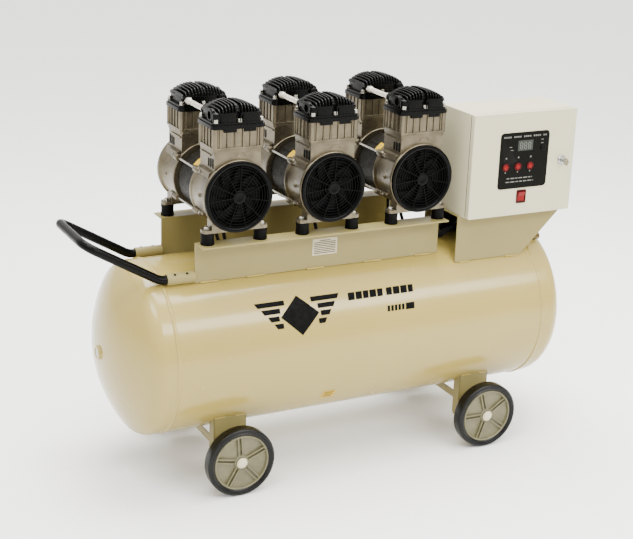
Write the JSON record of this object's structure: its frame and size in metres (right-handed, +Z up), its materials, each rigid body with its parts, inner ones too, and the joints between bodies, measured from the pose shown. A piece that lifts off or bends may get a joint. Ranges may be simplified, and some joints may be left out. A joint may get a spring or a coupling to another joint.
{
  "type": "air compressor",
  "caption": "Oil-free air compressor: twin-head piston pumps on rails along a horizontal tank, with push handle, wheels and a control box.",
  "frame": {"origin": "on the floor, under the middle of the machine, push handle included", "axes": "+X along the tank towards the control box, +Z up, -Y towards the operator, who faces the control panel"},
  "size_m": [1.308, 0.4596, 0.926],
  "materials": {
    "cream_paint": "gloss baked enamel",
    "white_paint": "fine texture powder coat",
    "black_paint": "satin powder coat",
    "black_casting": "black painted die casting",
    "cast_aluminium": "bead-blasted die casting",
    "stator_steel": "varnished laminations",
    "steel": "zinc plated",
    "brass": "satin",
    "tyre_rubber": "matte",
    "rim_plastic": "moulded",
    "black_plastic": "semi-gloss moulded",
    "panel_plastic": "gloss",
    "red_plastic": "gloss"
  },
  "bodies": {
    "machine": {"tank": "cream_paint", "rail_front": "cream_paint", "rail_rear": "cream_paint", "box_support": "cream_paint", "handle_socket_front": "cream_paint", "handle_socket_rear": "cream_paint", "wheel_bracket_left": "cream_paint", "wheel_bracket_right": "cream_paint", "handle": "black_paint", "control_box": "white_paint", "drain_valve": "brass", "air_outlet": "brass", "motor_stator_1": "stator_steel", "crossover_pipe_1": "steel", "crankcase_front_1": "cast_aluminium", "cylinder_front_1": "cast_aluminium", "cylinder_head_front_1": "black_casting", "fan_grille_front_1": "black_plastic", "crankcase_rear_1": "cast_aluminium", "cylinder_rear_1": "cast_aluminium", "cylinder_head_rear_1": "black_casting", "fan_grille_rear_1": "black_plastic", "motor_stator_2": "stator_steel", "crossover_pipe_2": "steel", "crankcase_front_2": "cast_aluminium", "cylinder_front_2": "cast_aluminium", "cylinder_head_front_2": "black_casting", "fan_grille_front_2": "black_plastic", "crankcase_rear_2": "cast_aluminium", "cylinder_rear_2": "cast_aluminium", "cylinder_head_rear_2": "black_casting", "fan_grille_rear_2": "black_plastic", "motor_stator_3": "stator_steel", "crossover_pipe_3": "steel", "crankcase_front_3": "cast_aluminium", "cylinder_front_3": "cast_aluminium", "cylinder_head_front_3": "black_casting", "fan_grille_front_3": "black_plastic", "crankcase_rear_3": "cast_aluminium", "cylinder_rear_3": "cast_aluminium", "cylinder_head_rear_3": "black_casting", "fan_grille_rear_3": "black_plastic"},
    "door": {"control_box_door": "white_paint", "control_panel": "panel_plastic"},
    "lock": {"door_lock": "steel"},
    "rocker": {"power_rocker": "red_plastic"},
    "button_1": {"motor_button_1": "red_plastic"},
    "button_2": {"motor_button_2": "red_plastic"},
    "button_3": {"motor_button_3": "red_plastic"},
    "wheel_front_left": {"tyre_front_left": "tyre_rubber", "rim_front_left": "rim_plastic"},
    "wheel_front_right": {"tyre_front_right": "tyre_rubber", "rim_front_right": "rim_plastic"},
    "wheel_rear_left": {"tyre_rear_left": "tyre_rubber", "rim_rear_left": "rim_plastic"},
    "wheel_rear_right": {"tyre_rear_right": "tyre_rubber", "rim_rear_right": "rim_plastic"},
    "rotor_1": {"motor_rotor_1": "steel"},
    "rotor_2": {"motor_rotor_2": "steel"},
    "rotor_3": {"motor_rotor_3": "steel"}
  },
  "joints": [
    {"name": "wheel_front_left_spin", "type": "hinge", "parent": "machine", "child": "wheel_front_left", "pos_m": [-0.30861, -0.2095, 0.08526], "axis": [0, 1, 0], "continuous": true},
    {"name": "wheel_front_right_spin", "type": "hinge", "parent": "machine", "child": "wheel_front_right", "pos_m": [0.37839, -0.2095, 0.08526], "axis": [0, 1, 0], "continuous": true},
    {"name": "wheel_rear_left_spin", "type": "hinge", "parent": "machine", "child": "wheel_rear_left", "pos_m": [-0.30861, 0.2095, 0.08526], "axis": [0, 1, 0], "continuous": true},
    {"name": "wheel_rear_right_spin", "type": "hinge", "parent": "machine", "child": "wheel_rear_right", "pos_m": [0.37839, 0.2095, 0.08526], "axis": [0, 1, 0], "continuous": true},
    {"name": "rotor_1_spin", "type": "hinge", "parent": "machine", "child": "rotor_1", "pos_m": [-0.29622, 0, 0.7124], "axis": [0, 1, 0], "continuous": true},
    {"name": "rotor_2_spin", "type": "hinge", "parent": "machine", "child": "rotor_2", "pos_m": [-0.05581, 0, 0.7124], "axis": [0, 1, 0], "continuous": true},
    {"name": "rotor_3_spin", "type": "hinge", "parent": "machine", "child": "rotor_3", "pos_m": [0.18458, 0, 0.7124], "axis": [0, 1, 0], "continuous": true},
    {"name": "door_hinge", "type": "hinge", "parent": "machine", "child": "door", "pos_m": [0.30718, -0.16025, 0.7338], "axis": [0, 0, -1], "range_deg": [0, 110]},
    {"name": "lock_turn", "type": "hinge", "parent": "door", "child": "lock", "pos_m": [0.57359, -0.1772, 0.7342], "axis": [0, 1, 0], "range_deg": [0, 90]},
    {"name": "rocker_tip", "type": "hinge", "parent": "door", "child": "rocker", "pos_m": [0.45909, -0.1712, 0.6517], "axis": [-1, 0, 0], "range_deg": [0, 16]},
    {"name": "button_1_press", "type": "slide", "parent": "door", "child": "button_1", "axis": [0, 1, 0], "range_m": [0, 0.0015], "stiffness_N_per_m": 400, "springref_m": -0.002},
    {"name": "button_2_press", "type": "slide", "parent": "door", "child": "button_2", "axis": [0, 1, 0], "range_m": [0, 0.0015], "stiffness_N_per_m": 400, "springref_m": -0.002},
    {"name": "button_3_press", "type": "slide", "parent": "door", "child": "button_3", "axis": [0, 1, 0], "range_m": [0, 0.0015], "stiffness_N_per_m": 400, "springref_m": -0.002}
  ]
}
